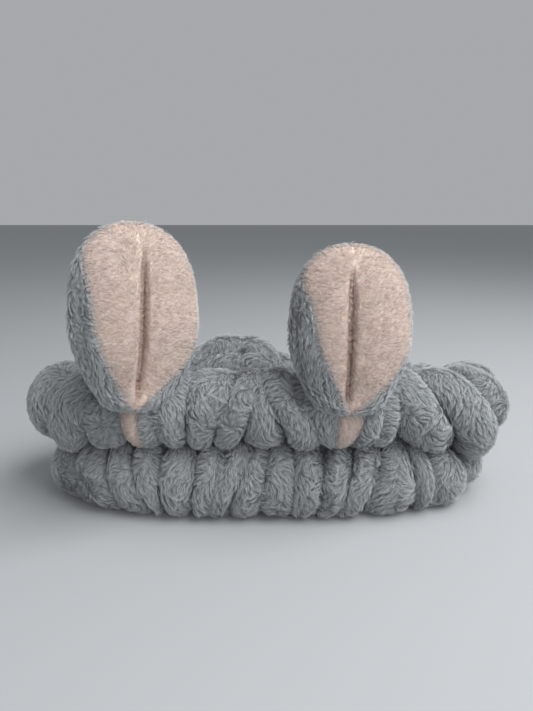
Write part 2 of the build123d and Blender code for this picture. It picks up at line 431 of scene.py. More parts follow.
def store_float(piece, name, values):
    """Gives a piece a named number at each vertex, or changes it."""
    attribute = piece.data.attributes.get(name) or piece.data.attributes.new(name, "FLOAT", "POINT")
    attribute.data.foreach_set("value", values.astype(np.float32))


def lay_of_pile(co, n, seed):
    """Direction that the pile leans in at each vertex: downwards, with swirls."""
    flow = np.stack([noise_lattice(co, 13 * MM, seed + k) for k in range(3)], axis=1)
    fine = np.stack([noise_lattice(co, 5 * MM, seed + 7 + k) for k in range(3)], axis=1)
    lay = np.array([0, 0, -0.35]) + 0.9 * flow + 0.45 * fine
    lay -= n * np.sum(lay * n, axis=1)[:, None]
    return lay / np.maximum(np.linalg.norm(lay, axis=1), 1e-6)[:, None]


def tuft_surface(piece, seed):
    """Raises the matted tufts of the pile on a piece, and stores the way that the pile lies."""
    co = coordinates(piece)
    n = normals(piece)
    lay = lay_of_pile(co, n, seed)
    across = np.cross(n, lay)
    along_lay = np.sum(co * lay, axis=1) * 0.4
    stretched = np.stack([along_lay, np.sum(co * across, axis=1), np.sum(co * n, axis=1)], axis=1)
    tufts = 0.6 * noise_lattice(co, TUFT_SIZE, seed + 31)
    tufts = tufts + 0.4 * noise_lattice(stretched, TUFT_SIZE * 0.7, seed + 37)
    co = co + n * (TUFT_HEIGHT * tufts)[:, None]
    co[:, 2] = np.maximum(co[:, 2], 0)
    piece.data.vertices.foreach_set("co", co.ravel())
    piece.data.update()
    store_vector(piece, "lay", lay)


def hollowness(piece, passes, reach):
    """How far each vertex lies in a fold, from 0 to 1, from how far smoothing would lift it."""
    co = coordinates(piece)
    edges = np.empty(len(piece.data.edges) * 2, np.int64)
    piece.data.edges.foreach_get("vertices", edges)
    a, b = edges.reshape(-1, 2).T
    count = np.bincount(a, minlength=len(co)) + np.bincount(b, minlength=len(co))
    even = co.copy()
    for _ in range(passes):
        total = np.empty_like(even)
        for k in range(3):
            total[:, k] = np.bincount(a, even[b, k], len(co)) + np.bincount(b, even[a, k], len(co))
        even = total / np.maximum(count, 1)[:, None]
    return np.clip(np.sum((even - co) * normals(piece), axis=1) / reach, 0, 1)


# --- materials
def new_material(name):
    """A material with its node tree and its main shader."""
    material = bpy.data.materials.new(name)
    material.use_nodes = True
    tree = material.node_tree
    shader = tree.nodes["Principled BSDF"]
    return material, tree, shader


def ramp(tree, factor, stops):
    """A colour that runs through the stops as a factor goes from 0 to 1."""
    node = tree.nodes.new("ShaderNodeValToRGB")
    elements = node.color_ramp.elements
    while len(elements) < len(stops):
        elements.new(0.5)
    for element, (position, colour) in zip(elements, stops):
        element.position = position
        element.color = (*colour, 1)
    tree.links.new(factor, node.inputs["Fac"])
    return node.outputs["Color"]


def noise_node(tree, scale, detail, place):
    """Noise over a place, as a factor."""
    node = tree.nodes.new("ShaderNodeTexNoise")
    node.inputs["Scale"].default_value = scale
    node.inputs["Detail"].default_value = detail
    tree.links.new(place, node.inputs["Vector"])
    return node.outputs["Fac"]


def tinted(tree, colour, *tints):
    """A colour multiplied by each of the tints."""
    for tint in tints:
        node = tree.nodes.new("ShaderNodeMix")
        node.data_type = "RGBA"
        node.blend_type = "MULTIPLY"
        node.inputs["Factor"].default_value = 1.0
        tree.links.new(colour, node.inputs["A"])
        tree.links.new(tint, node.inputs["B"])
        colour = node.outputs["Result"]
    return colour


def add_bump(tree, shader, height, strength, distance):
    """Fine relief on a surface."""
    bump = tree.nodes.new("ShaderNodeBump")
    bump.inputs["Strength"].default_value = strength
    bump.inputs["Distance"].default_value = distance
    tree.links.new(height, bump.inputs["Height"])
    tree.links.new(bump.outputs["Normal"], shader.inputs["Normal"])


def fold_shade_tint(tree, fold_shade):
    """White on open fabric and this tint in a fold, where the pile is short: painted shade in the folds.
    """
    length = tree.nodes.new("ShaderNodeAttribute")
    length.attribute_name = "pile_length"
    return ramp(tree, length.outputs["Fac"], [(0.45, fold_shade), (0.95, WHITE)])


def fleece(name, deep, mid, light, fold_shade):
    """Matted pile as a surface: mottled colour, painted shade in folds, and bump from fine fibres and
    tufts.
    """
    material, tree, shader = new_material(name)
    place = tree.nodes.new("ShaderNodeTexCoord").outputs["Object"]
    fibres = noise_node(tree, 900, 4, place)
    tufts = noise_node(tree, 330, 3, place)
    base = ramp(tree, tufts, [(0.32, deep), (0.5, mid), (0.68, light)])
    patch = ramp(tree, noise_node(tree, 55, 3, place), [(0.3, (0.86, 0.87, 0.88)), (0.7, WHITE)])
    fine = ramp(tree, fibres, [(0.3, (0.78, 0.78, 0.78)), (0.7, WHITE)])
    colour = tinted(tree, base, patch, fine, fold_shade_tint(tree, fold_shade))
    tree.links.new(colour, shader.inputs["Base Color"])
    rough = tree.nodes.new("ShaderNodeMapRange")
    rough.inputs["To Min"].default_value = 0.82
    rough.inputs["To Max"].default_value = 1.0
    tree.links.new(tufts, rough.inputs["Value"])
    tree.links.new(rough.outputs["Result"], shader.inputs["Roughness"])
    shader.inputs["Sheen Weight"].default_value = 0.35
    shader.inputs["Sheen Roughness"].default_value = 0.45
    add_bump(tree, shader, fibres, 0.6, 0.8 * MM)
    return material


def lock_tint(tree):
    """A tint that each lock of fibres has in common."""
    lock = tree.nodes.new("ShaderNodeAttribute")
    lock.attribute_name = "tint"
    spread = tree.nodes.new("ShaderNodeMapRange")
    spread.inputs["From Min"].default_value = -1
    tree.links.new(lock.outputs["Fac"], spread.inputs["Value"])
    return ramp(tree, spread.outputs["Result"], [(0.0, (0.80, 0.80, 0.81)), (1.0, (1.12, 1.12, 1.11))])


def strand(name, root, tip, fold_shade):
    """One fibre of the pile, each a little different: painted shade darkens its root and the folds."""
    material, tree, shader = new_material(name)
    info = tree.nodes.new("ShaderNodeHairInfo")
    # Painted shade: darker towards the root.
    along = ramp(tree, info.outputs["Intercept"], [(0.0, root), (0.75, tip), (1.0, tip)])
    each = ramp(tree, info.outputs["Random"], [(0.0, (0.82, 0.82, 0.82)), (1.0, (1.08, 1.08, 1.08))])
    colour = tinted(tree, along, each, lock_tint(tree), fold_shade_tint(tree, fold_shade))
    tree.links.new(colour, shader.inputs["Base Color"])
    shader.inputs["Roughness"].default_value = 0.6
    shader.inputs["Specular IOR Level"].default_value = 0.25
    through = tree.nodes.new("ShaderNodeBsdfTranslucent")
    tree.links.new(colour, through.inputs["Color"])
    blend = tree.nodes.new("ShaderNodeMixShader")
    blend.inputs["Fac"].default_value = 0.35
    tree.links.new(shader.outputs["BSDF"], blend.inputs[1])
    tree.links.new(through.outputs["BSDF"], blend.inputs[2])
    tree.links.new(blend.outputs["Shader"], tree.nodes["Material Output"].inputs["Surface"])
    return material


def plain_material(name, colour, roughness):
    """Woven tape, thread or stuffing: a colour that varies a little, with fine bump."""
    material, tree, shader = new_material(name)
    place = tree.nodes.new("ShaderNodeTexCoord").outputs["Object"]
    fine = noise_node(tree, 1400, 3, place)
    dark = tuple(0.7 * c for c in colour)
    tree.links.new(ramp(tree, fine, [(0.35, dark), (0.65, colour)]), shader.inputs["Base Color"])
    shader.inputs["Roughness"].default_value = roughness
    add_bump(tree, shader, fine, 0.5, 0.2 * MM)
    return material


def materials():
    """Every material of the headband, by a short name."""
    return {
        "grey": fleece("grey_fleece", GREY_DEEP, GREY_MID, GREY_LIGHT, GREY_FOLD_SHADE),
        "pink": fleece("pink_fleece", PINK_DEEP, PINK_MID, PINK_LIGHT, PINK_FOLD_SHADE),
        "grey_strand": strand("grey_pile", GREY_ROOT_SHADE, GREY_TIP, GREY_FOLD_SHADE),
        "pink_strand": strand("pink_pile", PINK_ROOT_SHADE, PINK_TIP, PINK_FOLD_SHADE),
        "stuffing": plain_material("stuffing", (0.88, 0.88, 0.86), 0.9),
        "tape": plain_material("elastic_tape", (0.82, 0.83, 0.84), 0.7),
        "thread": plain_material("grey_thread", (0.36, 0.39, 0.41), 0.6),
        "white_thread": plain_material("white_thread", (0.85, 0.85, 0.85), 0.6),
    }


# --- the pile
class Wiring:
    """Short ways to add and link the nodes of one geometry tree."""

    def __init__(self, name):
        self.tree = bpy.data.node_groups.new(name, "GeometryNodeTree")
        for way in ("INPUT", "OUTPUT"):
            self.tree.interface.new_socket("Geometry", in_out=way, socket_type="NodeSocketGeometry")

    def node(self, kind, inputs=None, **settings):
        """Adds a node. Each of its inputs is another node's output or a plain value."""
        made = self.tree.nodes.new(kind)
        for key, value in settings.items():
            setattr(made, key, value)
        for socket, value in (inputs or {}).items():
            if isinstance(value, bpy.types.NodeSocket):
                self.tree.links.new(value, made.inputs[socket])
            else:
                made.inputs[socket].default_value = value
        return made

    def vector(self, operation, a, b):
        return self.node("ShaderNodeVectorMath", {0: a, 1: b}, operation=operation).outputs[0]

    def scaled(self, a, by):
        return self.node("ShaderNodeVectorMath", {0: a, "Scale": by}, operation="SCALE").outputs[0]

    def unit(self, a):
        return self.node("ShaderNodeVectorMath", {0: a}, operation="NORMALIZE").outputs[0]

    def number(self, operation, a, b):
        return self.node("ShaderNodeMath", {0: a, 1: b}, operation=operation).outputs[0]

    def named(self, name, kind="FLOAT_VECTOR"):
        """Reads a named value from the geometry."""
        made = self.node("GeometryNodeInputNamedAttribute", {"Name": name}, data_type=kind)
        return made.outputs["Attribute"]

    def stored(self, points, name, value, kind="FLOAT_VECTOR"):
        """Stores a named value on points."""
        inputs = {"Geometry": points, "Name": name, "Value": value}
        made = self.node("GeometryNodeStoreNamedAttribute", inputs, data_type=kind, domain="POINT")
        return made.outputs["Geometry"]

    def random_vector(self, size, seed):
        inputs = {0: (-size, -size, -size), 1: (size, size, size), "Seed": seed}
        return self.node("FunctionNodeRandomValue", inputs, data_type="FLOAT_VECTOR").outputs[0]


def scatter(wire, surface, per_m2, seed):
    """Points strewn over a surface, fewer where its pile is thin."""
    density = wire.number("MULTIPLY", wire.named("pile_share", "FLOAT"), per_m2)
    inputs = {"Mesh": surface, "Density": density, "Seed": seed}
    return wire.node("GeometryNodeDistributePointsOnFaces", inputs, distribute_method="RANDOM")


def fibre_reach(wire, points, length, lift, wobble, seed):
    """From a fibre's root to its tip: along the lay of the pile, raised, and a little astray."""
    leaning = wire.vector("ADD", wire.scaled(points.outputs["Normal"], lift), wire.named("lay"))
    direction = wire.vector("ADD", leaning, wire.random_vector(wobble, seed))
    grown = wire.number("MULTIPLY", wire.named("pile_length", "FLOAT"), length)
    return wire.scaled(wire.unit(direction), grown)


def from_nearest(wire, guides):
    """A reader of values on the guide point nearest to each root."""
    nearest = wire.node("GeometryNodeSampleNearest", {"Geometry": guides}, domain="POINT")

    def read(value):
        inputs = {"Geometry": guides, "Value": value, "Index": nearest.outputs["Index"]}
        made = wire.node("GeometryNodeSampleIndex", inputs, data_type="FLOAT_VECTOR", domain="POINT")
        return made.outputs[0]

    return read


def pile_roots(wire, piece, kind):
    """The roots of the fibres, each with its tip, which is drawn towards the tip of its lock."""
    under = wire.node("GeometryNodeObjectInfo", {"Object": piece}, transform_space="RELATIVE")
    surface = under.outputs["Geometry"]
    density, length, lift = kind["density"] * PILE_AMOUNT, kind["length"], kind["lift"]
    roots = scatter(wire, surface, density, kind["seed"])
    guides = scatter(wire, surface, density / ROOTS_PER_LOCK, kind["seed"] + 1)
    lock_reach = fibre_reach(wire, guides, length * 1.05, lift, 0.35, 3)
    own_reach = fibre_reach(wire, roots, length, lift, 0.22, 4)
    place = wire.node("GeometryNodeInputPosition").outputs[0]

    locks = wire.stored(guides.outputs["Points"], "reach", lock_reach)
    points = wire.stored(roots.outputs["Points"], "reach", own_reach)
    points = wire.stored(points, "up", roots.outputs["Normal"])
    points = wire.stored(points, "root", place)
    read = from_nearest(wire, locks)
    points = wire.stored(points, "tint", read(wire.random_vector(1.0, 9)))
    lock_tip = wire.vector("ADD", read(place), read(wire.named("reach")))
    own_tip = wire.vector("ADD", place, wire.named("reach"))
    drawn = {"Factor": kind["clump"], 4: own_tip, 5: lock_tip}
    points = wire.stored(points, "tip", wire.node("ShaderNodeMix", drawn, data_type="VECTOR").outputs[1])
    size = wire.node("FunctionNodeRandomValue", {2: 0.75, 3: 1.1}, data_type="FLOAT")
    return wire.stored(points, "size", size.outputs[1], "FLOAT")


def bent_fibres(wire, roots, length, radius):
    """A line on every root, which rises from the fabric, bends over to its tip and thins out."""
    line = wire.node("GeometryNodeCurvePrimitiveLine").outputs[0]
    cut = wire.node("GeometryNodeResampleCurve", {"Curve": line, "Count": 4}).outputs[0]
    spread = wire.node("GeometryNodeInstanceOnPoints", {"Points": roots, "Instance": cut}).outputs[0]
    real = wire.node("GeometryNodeRealizeInstances", {0: spread}).outputs[0]

    along = wire.node("GeometryNodeSplineParameter").outputs["Factor"]
    grown = wire.number("MULTIPLY", along, wire.named("size", "FLOAT"))
    squared = wire.number("MULTIPLY", grown, grown)
    early = wire.number("MULTIPLY", wire.number("SUBTRACT", grown, squared), 2.0)
    knee = wire.scaled(wire.named("up"), 0.55 * length)
    reach = wire.vector("SUBTRACT", wire.named("tip"), wire.named("root"))
    shape = wire.vector("ADD", wire.scaled(knee, early), wire.scaled(reach, squared))
    place = wire.vector("ADD", wire.named("root"), shape)
    bent = wire.node("GeometryNodeSetPosition", {"Geometry": real, "Position": place}).outputs[0]
    thinner = wire.number("SUBTRACT", 1.0, wire.number("MULTIPLY", along, 0.75))
    width = wire.number("MULTIPLY", thinner, radius)
    return wire.node("GeometryNodeSetCurveRadius", {"Curve": bent, "Radius": width}).outputs[0]


def pile(piece, material, kind):
    """Grows the pile on a piece as curves that follow it in every pose."""
    wire = Wiring(f"{piece.name}_pile")
    roots = pile_roots(wire, piece, PILES[kind])
    fibres = bent_fibres(wire, roots, PILES[kind]["length"], PILES[kind]["radius"])
    coloured = wire.node("GeometryNodeSetMaterial", {"Geometry": fibres, "Material": material})
    wire.node("NodeGroupOutput", {0: coloured.outputs[0]})
    holder = bpy.data.objects.new(wire.tree.name, bpy.data.hair_curves.new(wire.tree.name))
    bpy.context.scene.collection.objects.link(holder)
    holder.modifiers.new("pile", "NODES").node_group = wire.tree


# --- the pieces of the band
def under_tails(co):
    """Whether each point of the band's cover lies under the tail of an ear, where it needs no pile."""
    hidden = np.zeros(len(co), bool)
    for tail in TAILS.values():
        under = (co[:, 0] > tail["low_x"] + 2 * MM) & (co[:, 0] < tail["high_x"] - 2 * MM)
        under &= (co[:, 2] > TAIL_LOW_Z + 2 * MM) & (co[:, 2] < TAIL_HIGH_Z)
        hidden |= under & (co[:, 1] < RING_Y - 30 * MM)
    return hidden


def band_cover(material):
    """Both gathered rows and the web between them as one fleece skin."""
    points, faces = [], []
    start = 0
    for grid in (row_points("upper"), row_points("lower"), web_points()):
        grid = flatten_foot(grid)
        faces.append(grid_faces(grid.shape[0], grid.shape[1], True, True, start))
        points.append(grid.reshape(-1, 3))
        start += len(points[-1])
    piece = new_piece("band_cover", np.concatenate(points), np.concatenate(faces), material)
    remesh(piece)
    tuft_surface(piece, 71)
    co = coordinates(piece)
    fold = hollowness(piece, 30, 0.75 * MM)
    share = smooth(co[:, 2], 0.2 * MM, 1.5 * MM) * (1 - 0.5 * fold)
    share[under_tails(co)] = 0
    store_float(piece, "pile_share", share)
    # Shorter pile in the folds; the same value also darkens the fleece there as painted shade.
    store_float(piece, "pile_length", 1 - 0.6 * fold)
    return piece


def elastic_loop(material):
    """The elastic, a flat woven tape inside the web."""
    half_t, half_h = ELASTIC_HALF_THICKNESS, ELASTIC_HALF_HEIGHT
    across = np.array([-half_t, half_t, half_t, -half_t])
    up = np.array([-half_h, -half_h, half_h, half_h])
    steps = 240
    points = ring_sweep(LOWER_INSET / 2, across, up, steps)
    return new_piece("elastic_tape", points, grid_faces(steps, len(across), True, True), material)


def grid_normals(grid):
    """Outward unit normals of a grid of points that closes both ways."""
    along = np.roll(grid, -2, 0) - np.roll(grid, 2, 0)
    around = np.roll(grid, -2, 1) - np.roll(grid, 2, 1)
    n = np.cross(along, around)
    return n / np.maximum(np.linalg.norm(n, axis=2), 1e-9)[:, :, None]


def on_upper_row(grid, x_low, x_high, z_low, z_high):
    """The part of the upper row's grid that faces forwards between two places and two heights."""
    middle = grid[:, :, :2].mean(axis=1)
    front = np.where((middle[:, 0] > x_low) & (middle[:, 0] < x_high) & (middle[:, 1] < RING_Y))[0]
    front = sorted(front, key=lambda i: middle[i, 0])
    angles = np.linspace(0, 2 * pi, grid.shape[1], endpoint=False)
    low, high = np.arcsin(np.clip((np.array([z_low, z_high]) - UPPER_ROW_Z) / ROW_R, -1, 1))
    turns = np.where(angles > pi, angles - 2 * pi, angles)
    rise = np.where((turns >= low) & (turns <= high))[0]
    rise = sorted(rise, key=lambda j: turns[j])
    return grid[np.ix_(front, rise)], grid_normals(grid)[np.ix_(front, rise)]


def layer(name, base, n, outer, inner, material):
    """A closed layer of fleece over part of a row, from how far its two faces stand off it."""
    rows, columns = outer.shape
    points = np.concatenate([(base + n * outer[:, :, None]).reshape(-1, 3),
                             (base + n * inner[:, :, None]).reshape(-1, 3)])
    count = rows * columns
    index = np.arange(count).reshape(rows, columns)
    rim = np.concatenate([index[:, 0], index[-1, 1:], index[::-1, -1][1:], index[0, ::-1][1:-1]])
    after = np.roll(rim, -1)
    wall = np.stack([rim, after, after + count, rim + count], axis=1)
    faces = [grid_faces(rows, columns), grid_faces(rows, columns, start=count)[:, ::-1], wall]
    piece = new_piece(name, points, np.concatenate(faces), material)
    weld(piece)
    store_float(piece, "pile_share", np.concatenate([np.ones(count), np.zeros(count)]))
    store_float(piece, "pile_length", np.ones(2 * count))
    return piece


def bulge(count_across, count_up, roundness):
    """A height that is 1 over the middle of a patch and falls to 0 at its edges."""
    u = np.linspace(-1, 1, count_across)[:, None]
    v = np.linspace(-1, 1, count_up)[None, :]
    return np.sqrt(np.clip(1 - np.abs(u) ** roundness, 0, 1) * np.clip(1 - np.abs(v) ** 9, 0, 1))


def tail_puffs(side, material):
    """The fabric of an ear where it runs down over the band: two puffs with a groove between them."""
    tail = TAILS[side]
    grid = row_points("upper")
    base, n = on_upper_row(grid, tail["low_x"], tail["high_x"], TAIL_LOW_Z, TAIL_HIGH_Z)
    x = base[:, :, 0]
    edge = bulge(*x.shape, 7)
    groove = np.exp(-(((x - tail["stripe_x"]) / (0.8 * tail["stripe"])) ** 2))
    outer = (-1.2 + 3.8 * edge) * MM - 2.0 * MM * groove * edge
    inner = np.full(x.shape, -2.0 * MM)
    piece = layer(f"{side}_ear_tail_puffs", base, n, outer, inner, material)
    bare = 1 - np.exp(-(((x - tail["stripe_x"]) / (0.55 * tail["stripe"])) ** 6))
    store_float(piece, "pile_share", np.concatenate([bare.ravel(), np.zeros(x.size)]))
    return piece


def tail_stripe(side, material):
    """The pink stripe between the puffs of a tail."""
    middle, half = TAILS[side]["stripe_x"], TAILS[side]["stripe"] / 2
    low_z, high_z = TAIL_LOW_Z + 0.2 * MM, TAIL_HIGH_Z + 4 * MM
    base, n = on_upper_row(row_points("upper"), middle - half, middle + half, low_z, high_z)
    outer = (0.2 + 2.6 * bulge(*base.shape[:2], 3)) * MM
    inner = np.full(outer.shape, -0.6 * MM)
    return layer(f"{side}_tail_pink_stripe", base, n, outer, inner, material)


# --- the pieces of the ears
def ear_matrix(side):
    """Where an ear stands: its foot at the joint's pivot."""
    ear = EARS[side]
    pivot = Vector(JOINTS[f"{side}_ear_flex"]["pos_m"])
    lean = Euler((radians(-EAR_LEAN), 0, 0)).to_matrix()
    turn = Euler((0, 0, radians(ear["turn"]))).to_matrix()
    place = pivot + Vector((ear["shift"], EAR_BACK, ear["foot"]))
    return Matrix.Translation(place) @ (lean @ turn).to_4x4()


def stand(side, points):
    """Moves points from an ear's own frame to where the ear stands."""
    matrix = np.array(ear_matrix(side))
    return points.reshape(-1, 3) @ matrix[:3, :3].T + matrix[:3, 3]


def slit_depth(ear, x, share):
    """How deep the fold down the front of an ear is, from 0 to 1: a narrow cleft between soft lips."""
    half = ear["width"] / 2
    open_share = ear["slit"] * smooth(share, 0.03, 0.16) * (1 - smooth(share, 0.70, 0.90))
    away = np.abs(x / half - ear["slit_foot"] - ear["slit_lean"] * share)
    cleft = 0.85 * np.exp(-((away / 0.042) ** 1.5))
    valley = 0.15 * np.exp(-((away / 0.24) ** 2))
    return open_share * (cleft + valley)


def ear_surface(ear, angle, share, inset=0.0):
    """Points on an ear: angle is 0 at its right and -90 degrees in front, share is of its height."""
    half = ear["width"] / 2 - inset
    deep = EAR_THICKNESS / 2 - inset
    tall = ear["height"] - 2 * inset
    swell = np.sin(pi / 2 * np.clip(share / 0.5, 0, 1))
    top = np.sqrt(np.clip(1 - share**6, 0, 1))
    foot = np.sqrt(np.clip(1 - (1 - np.clip(share / 0.07, 0, 1)) ** 2, 0, 1))
    a = half * top * (0.46 + 0.54 * swell) * foot
    b = deep * np.sqrt(np.clip(1 - share**4, 0, 1)) * (0.62 + 0.38 * swell) * foot
    x = a * np.cos(angle)
    y = b * np.sin(angle)

    front = np.clip(-np.sin(angle), 0, 1)
    slit = slit_depth(ear, x, share)
    y = y + front * b * slit * 0.8
    lips = front * b * 0.12 * ear["slit"]
    lips = lips * smooth(share, 0.1, 0.3) * (1 - smooth(share, 0.7, 0.9)) * (1 - slit)
    y = y - lips

    turned = np.mod(angle - radians(FURROW_ANGLE) + pi, 2 * pi) - pi
    furrow = np.exp(-((turned / 0.11) ** 2)) * smooth(share, 0.12, 0.3) * (1 - smooth(share, 0.62, 0.85))
    x = x - FURROW_DEPTH * furrow * np.cos(angle)
    y = y - FURROW_DEPTH * furrow * np.sin(angle)
    return np.stack([x, y, inset + tall * share], axis=-1)


def seam_angles(ear, share):
    """Angles of the two seams between the grey and the pink panel, left and right, at a height."""
    left, right = ear["seam"]
    left = left * (1 - 0.8 * smooth(share, 0.62, 0.95))
    left_narrow = np.clip(1 - share / ear["narrow"], 0, 1) ** 1.25
    right_narrow = np.clip(1 - share / 0.5, 0, 1) ** 1.7
    half_point = 8
    left_angle = (left - 180) * (1 - left_narrow) + (ear["point"] - half_point) * left_narrow
    right_angle = -right * (1 - right_narrow) + (ear["point"] + half_point) * right_narrow
    return np.radians(left_angle), np.radians(right_angle)


def shell_faces(rows, columns):
    """Faces of two grids of points, one inside the other, and of the two side walls between them."""
    count = rows * columns
    faces = [grid_faces(rows, columns), grid_faces(rows, columns, start=count)[:, ::-1]]
    edge = np.arange(rows - 1) * columns
    far_edge = edge + columns - 1
    for side, flip in ((edge, False), (far_edge, True)):
        strip = np.stack([side, side + count, side + columns + count, side + columns], axis=1)
        faces.append(strip[:, ::-1] if flip else strip)
    return np.concatenate(faces)


def ear_panel(side, front, material, name):
    """One panel of an ear as a closed shell of fleece: the outer sheet, and an inner one behind it."""
    ear = EARS[side]
    share = 0.5 - 0.5 * np.cos(pi * np.linspace(0.0, 1.0, EAR_ROWS))
    left, right = seam_angles(ear, share)
    t = np.linspace(0, 1, EAR_COLUMNS)
    if front:
        angle = left[:, None] + (right - left)[:, None] * t
    else:
        angle = right[:, None] + (left + 2 * pi - right)[:, None] * t
    shares = np.repeat(share[:, None], EAR_COLUMNS, axis=1)
    outer = ear_surface(ear, angle, shares)
    inner = ear_surface(ear, angle, shares, PANEL_THICKNESS)
    points = stand(side, np.concatenate([outer.reshape(-1, 3), inner.reshape(-1, 3)]))
    piece = new_piece(name, points, shell_faces(EAR_ROWS, EAR_COLUMNS), material)
    fold = np.zeros(shares.shape)
    if front:
        fold = smooth(slit_depth(ear, outer[:, :, 0], shares), 0.22, 0.75)
    # Sparser, shorter pile down the fold; the same value also tints the fold as painted shade.
    thinner_pile_and_shade = 1 - 0.6 * fold.ravel()
    store_float(piece, "pile_share", np.concatenate([thinner_pile_and_shade, np.zeros(thinner_pile_and_shade.size)]))
    store_float(piece, "pile_length", np.concatenate([thinner_pile_and_shade, np.ones(thinner_pile_and_shade.size)]))
    weld(piece, 0.02 * MM)
    return piece


def ear_filling(side, material):
    """The loose fibre that an ear is stuffed with, pressed in where the fold is."""
    rows, columns = FILLING_ROWS, FILLING_COLUMNS
    share = np.repeat(np.linspace(0, 1, rows)[:, None], columns, axis=1)
    angle = np.repeat(np.linspace(0, 2 * pi, columns, endpoint=False)[None, :], rows, axis=0)
    points = ear_surface(EARS[side], angle, share, FILLING_INSET)
    y = points[:, :, 1]
    points[:, :, 1] = np.where(y < 0, 0.3 * y + 1.5 * MM, y)
    faces = grid_faces(rows, columns, False, True)
    piece = new_piece(f"{side}_ear_stuffing", stand(side, points), faces, material)
    weld(piece, 0.05 * MM)
    return piece


def lay_ear(piece, side, front):
    """The pile of an ear leans away from its fold and upwards, with small swirls."""
    co = coordinates(piece)
    n = normals(piece)
    matrix = np.array(ear_matrix(side))
    local = (co - matrix[:3, 3]) @ matrix[:3, :3]
    outwards = np.stack([np.sign(local[:, 0]) * 0.8, 0 * local[:, 0], 0.25 + 0 * local[:, 0]], axis=1)
    if not front:
        outwards[:, 0] *= -0.3
        outwards[:, 2] -= 0.5
    outwards = outwards @ matrix[:3, :3].T
    flow = np.stack([noise_lattice(co, 11 * MM, 40 + k) for k in range(3)], axis=1)
    lay = outwards + 0.55 * flow
    lay -= n * np.sum(lay * n, axis=1)[:, None]
    lay /= np.maximum(np.linalg.norm(lay, axis=1), 1e-6)[:, None]
    store_vector(piece, "lay", lay)


# --- stitching
def stitches(name, places, along, out, material):
    """One short thread for each place, with its two ends pulled into the fabric."""
    along = along / np.linalg.norm(along, axis=1)[:, None]
    out = out - along * np.sum(out * along, axis=1)[:, None]
    out = out / np.linalg.norm(out, axis=1)[:, None]
    side = np.cross(along, out)
    points, faces = [], []
    steps = np.linspace(-1, 1, 5)
    turn = np.linspace(0, 2 * pi, 6, endpoint=False)
    for place, a, o, s in zip(places, along, out, side):
        start = len(points) * len(steps) * len(turn)
        ring = []
        for step in steps:
            centre = place + a * (STITCH_LENGTH / 2 * step) + o * (STITCH_R * (1 - 2 * step**4))
            r = STITCH_R * (1 - 0.6 * step**6)
            ring += [centre + r * (cos(t) * s + sin(t) * o) for t in turn]
        points.append(ring)
        faces.append(grid_faces(len(steps), len(turn), False, True, start))
    piece = new_piece(name, np.array(points), np.concatenate(faces), material)
    weld(piece, 0.001 * MM)
    return piece


def midline_seam(back, material):
    """The stitches of the band's middle seam, on the outside of the web, over its front or back half."""
    x, y, run, length = oval(MIDLINE_X - LOWER_INSET / 2, MIDLINE_Y, 4 * RING_STEPS)
    out = outward(x, y)
    every = int(round(6 * MM / (length / len(x))))
    pick = np.arange(0, len(x), every)
    pick = pick[(y[pick] > 0) == back]
    places = np.stack([x, y + RING_Y, np.full_like(x, MIDLINE_Z)], axis=1)[pick]
    facing = np.stack([out[:, 0], out[:, 1], np.zeros(len(x))], axis=1)[pick]
    along = np.stack([-facing[:, 1], facing[:, 0], facing[:, 2]], axis=1)
    name = f"midline_seam_{'back' if back else 'front'}"
    return stitches(name, places + facing * WEB_HALF_THICKNESS, along, facing, material)


def join_seam(material):
    """The stitches that close the fleece tube, round the upper row beside the bulk of the join."""
    grid = row_points("upper")
    n = grid_normals(grid)
    middle = grid[:, :, :2].mean(axis=1)
    column = np.argmin(np.abs(middle[:, 0] - JOIN_SEAM_X) + np.where(middle[:, 1] > RING_Y, 0, 1))
    pick = np.arange(0, grid.shape[1], 7)
    line, facing = grid[column], n[column]
    along = np.roll(line, -1, 0) - np.roll(line, 1, 0)
    return stitches("back_join_seam", line[pick], along[pick], facing[pick], material)


def lap_seam(material):
    """The stitches that close the elastic into a loop, in two rows across its lap."""
    heights = np.linspace(-3.2, 3.2, 4) * MM
    spots = [(x, z) for x in (-5 * MM, 5 * MM) for z in heights]
    y = RING_Y + MIDLINE_Y + ELASTIC_HALF_THICKNESS
    places = np.array([(x, y, MIDLINE_Z + z) for x, z in spots])
    up = np.tile([0.0, 0.0, 1.0], (len(places), 1))
    facing = np.tile([0.0, 1.0, 0.0], (len(places), 1))
    return stitches("elastic_lap_seam", places, up * 0.4 + np.array([1, 0, 0]), facing, material)


def ear_edge_seam(side, material):
    """The stitches where the two panels of an ear meet, up one side and down the other."""
    ear = EARS[side]
    share = np.linspace(0.1, 0.96, 15)
    matrix = np.array(ear_matrix(side))[:3, :3]
    origin = np.array(ear_matrix(side))[:3, 3]
    places, along, out = [], [], []
    for edge in (0, 1):
        angle = seam_angles(ear, share)[edge]
        line = ear_surface(ear, angle, share, 0.4 * MM)
        after = ear_surface(ear, seam_angles(ear, share + 0.01)[edge], share + 0.01, 0.4 * MM)
        places.append(line)
        along.append(after - line)
        out.append(np.stack([np.cos(angle), np.sin(angle), 0 * angle], axis=1))
    parts = [np.concatenate(group) @ matrix.T for group in (places, along, out)]
    return stitches(f"{side}_ear_edge_stitches", parts[0] + origin, parts[1], parts[2], material)


def tail_seam(side, material):
    """The stitches that hold the top of a tail to the band."""
    tail = TAILS[side]
    grid = row_points("upper")
    base, n = on_upper_row(grid, tail["low_x"], tail["high_x"], TAIL_LOW_Z, TAIL_HIGH_Z)
    pick = np.linspace(8, base.shape[0] - 9, 4).astype(int)
    row = base.shape[1] - 3
    along = base[pick + 1, row] - base[pick - 1, row]
    out = n[pick, row]
    return stitches(f"{side}_tail_seam", base[pick, row] + out * 0.5 * MM, along, out, material)


